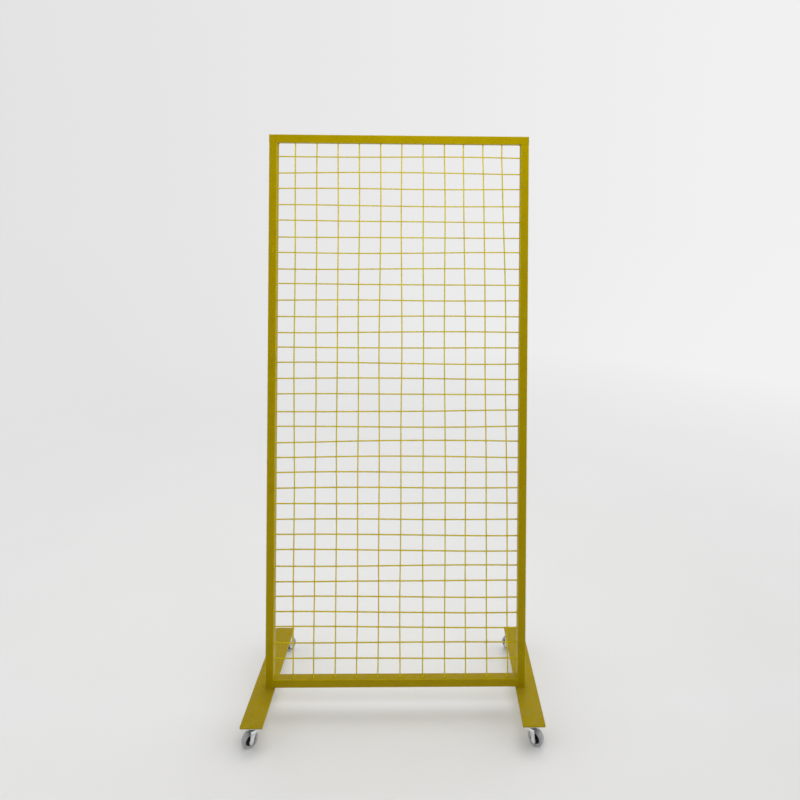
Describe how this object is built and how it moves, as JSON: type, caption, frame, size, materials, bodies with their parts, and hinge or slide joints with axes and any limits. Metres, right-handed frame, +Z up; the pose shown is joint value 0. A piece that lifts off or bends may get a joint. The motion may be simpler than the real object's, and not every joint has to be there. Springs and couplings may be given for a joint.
{
  "type": "mobile mesh partition panel",
  "caption": "Upright welded wire mesh in a square-tube frame, standing on two flat foot plates with swivel castors, for dividing a room or hanging displays.",
  "frame": {"origin": "on the floor, at the middle of the box around the whole panel and its castors", "axes": "+Z up, +X to the right seen from the front, -Y towards the front, where the short ends of the foot plates are"},
  "size_m": [0.87, 0.4025, 1.7673],
  "materials": {
    "frame_paint": "olive-yellow powder coat on welded steel tube, wire and flat bar, semi-gloss with fine orange peel",
    "zinc_plate": "bright zinc-plated pressed steel and fasteners",
    "hub_plastic": "moulded black plastic wheel centre",
    "tyre_rubber": "light grey non-marking rubber tread"
  },
  "bodies": {
    "root": {"top_rail": "frame_paint", "bottom_rail": "frame_paint", "left_post": "frame_paint", "right_post": "frame_paint", "top_rail_end_plate_left": "frame_paint", "top_rail_end_plate_right": "frame_paint", "mesh_panel": "frame_paint", "left_foot_plate": "frame_paint", "right_foot_plate": "frame_paint", "castor_front_left_swivel_plate": "zinc_plate", "castor_front_left_kingpin": "zinc_plate", "castor_front_left_stud_nut_1": "zinc_plate", "castor_front_left_stud_nut_2": "zinc_plate", "castor_front_left_stud_nut_3": "zinc_plate", "castor_front_left_stud_nut_4": "zinc_plate", "castor_front_right_swivel_plate": "zinc_plate", "castor_front_right_kingpin": "zinc_plate", "castor_front_right_stud_nut_1": "zinc_plate", "castor_front_right_stud_nut_2": "zinc_plate", "castor_front_right_stud_nut_3": "zinc_plate", "castor_front_right_stud_nut_4": "zinc_plate", "castor_rear_left_swivel_plate": "zinc_plate", "castor_rear_left_kingpin": "zinc_plate", "castor_rear_left_stud_nut_1": "zinc_plate", "castor_rear_left_stud_nut_2": "zinc_plate", "castor_rear_left_stud_nut_3": "zinc_plate", "castor_rear_left_stud_nut_4": "zinc_plate", "castor_rear_right_swivel_plate": "zinc_plate", "castor_rear_right_kingpin": "zinc_plate", "castor_rear_right_stud_nut_1": "zinc_plate", "castor_rear_right_stud_nut_2": "zinc_plate", "castor_rear_right_stud_nut_3": "zinc_plate", "castor_rear_right_stud_nut_4": "zinc_plate"},
    "castor_front_left_swivel": {"castor_front_left_ball_race": "zinc_plate", "castor_front_left_fork": "zinc_plate", "castor_front_left_axle_bolt": "zinc_plate", "castor_front_left_axle_nut": "zinc_plate"},
    "castor_front_left_wheel": {"castor_front_left_wheel_hub": "hub_plastic", "castor_front_left_tyre": "tyre_rubber"},
    "castor_front_right_swivel": {"castor_front_right_ball_race": "zinc_plate", "castor_front_right_fork": "zinc_plate", "castor_front_right_axle_bolt": "zinc_plate", "castor_front_right_axle_nut": "zinc_plate"},
    "castor_front_right_wheel": {"castor_front_right_wheel_hub": "hub_plastic", "castor_front_right_tyre": "tyre_rubber"},
    "castor_rear_left_swivel": {"castor_rear_left_ball_race": "zinc_plate", "castor_rear_left_fork": "zinc_plate", "castor_rear_left_axle_bolt": "zinc_plate", "castor_rear_left_axle_nut": "zinc_plate"},
    "castor_rear_left_wheel": {"castor_rear_left_wheel_hub": "hub_plastic", "castor_rear_left_tyre": "tyre_rubber"},
    "castor_rear_right_swivel": {"castor_rear_right_ball_race": "zinc_plate", "castor_rear_right_fork": "zinc_plate", "castor_rear_right_axle_bolt": "zinc_plate", "castor_rear_right_axle_nut": "zinc_plate"},
    "castor_rear_right_wheel": {"castor_rear_right_wheel_hub": "hub_plastic", "castor_rear_right_tyre": "tyre_rubber"}
  },
  "joints": [
    {"name": "castor_front_left_swivel_turn", "type": "hinge", "parent": "root", "child": "castor_front_left_swivel", "pos_m": [-0.397, -0.172, 0.062], "axis": [0, 0, 1], "continuous": true},
    {"name": "castor_front_left_wheel_roll", "type": "hinge", "parent": "castor_front_left_swivel", "child": "castor_front_left_wheel", "pos_m": [-0.40978, -0.18163, 0.0225], "axis": [0.6018, -0.7986, 0], "continuous": true},
    {"name": "castor_front_right_swivel_turn", "type": "hinge", "parent": "root", "child": "castor_front_right_swivel", "pos_m": [0.397, -0.172, 0.062], "axis": [0, 0, 1], "continuous": true},
    {"name": "castor_front_right_wheel_roll", "type": "hinge", "parent": "castor_front_right_swivel", "child": "castor_front_right_wheel", "pos_m": [0.40978, -0.18163, 0.0225], "axis": [0.6018, 0.7986, 0], "continuous": true},
    {"name": "castor_rear_left_swivel_turn", "type": "hinge", "parent": "root", "child": "castor_rear_left_swivel", "pos_m": [-0.397, 0.173, 0.062], "axis": [0, 0, 1], "continuous": true},
    {"name": "castor_rear_left_wheel_roll", "type": "hinge", "parent": "castor_rear_left_swivel", "child": "castor_rear_left_wheel", "pos_m": [-0.38474, 0.18329, 0.0225], "axis": [-0.6428, 0.766, 0], "continuous": true},
    {"name": "castor_rear_right_swivel_turn", "type": "hinge", "parent": "root", "child": "castor_rear_right_swivel", "pos_m": [0.397, 0.173, 0.062], "axis": [0, 0, 1], "continuous": true},
    {"name": "castor_rear_right_wheel_roll", "type": "hinge", "parent": "castor_rear_right_swivel", "child": "castor_rear_right_wheel", "pos_m": [0.38474, 0.18329, 0.0225], "axis": [-0.6428, -0.766, 0], "continuous": true}
  ]
}
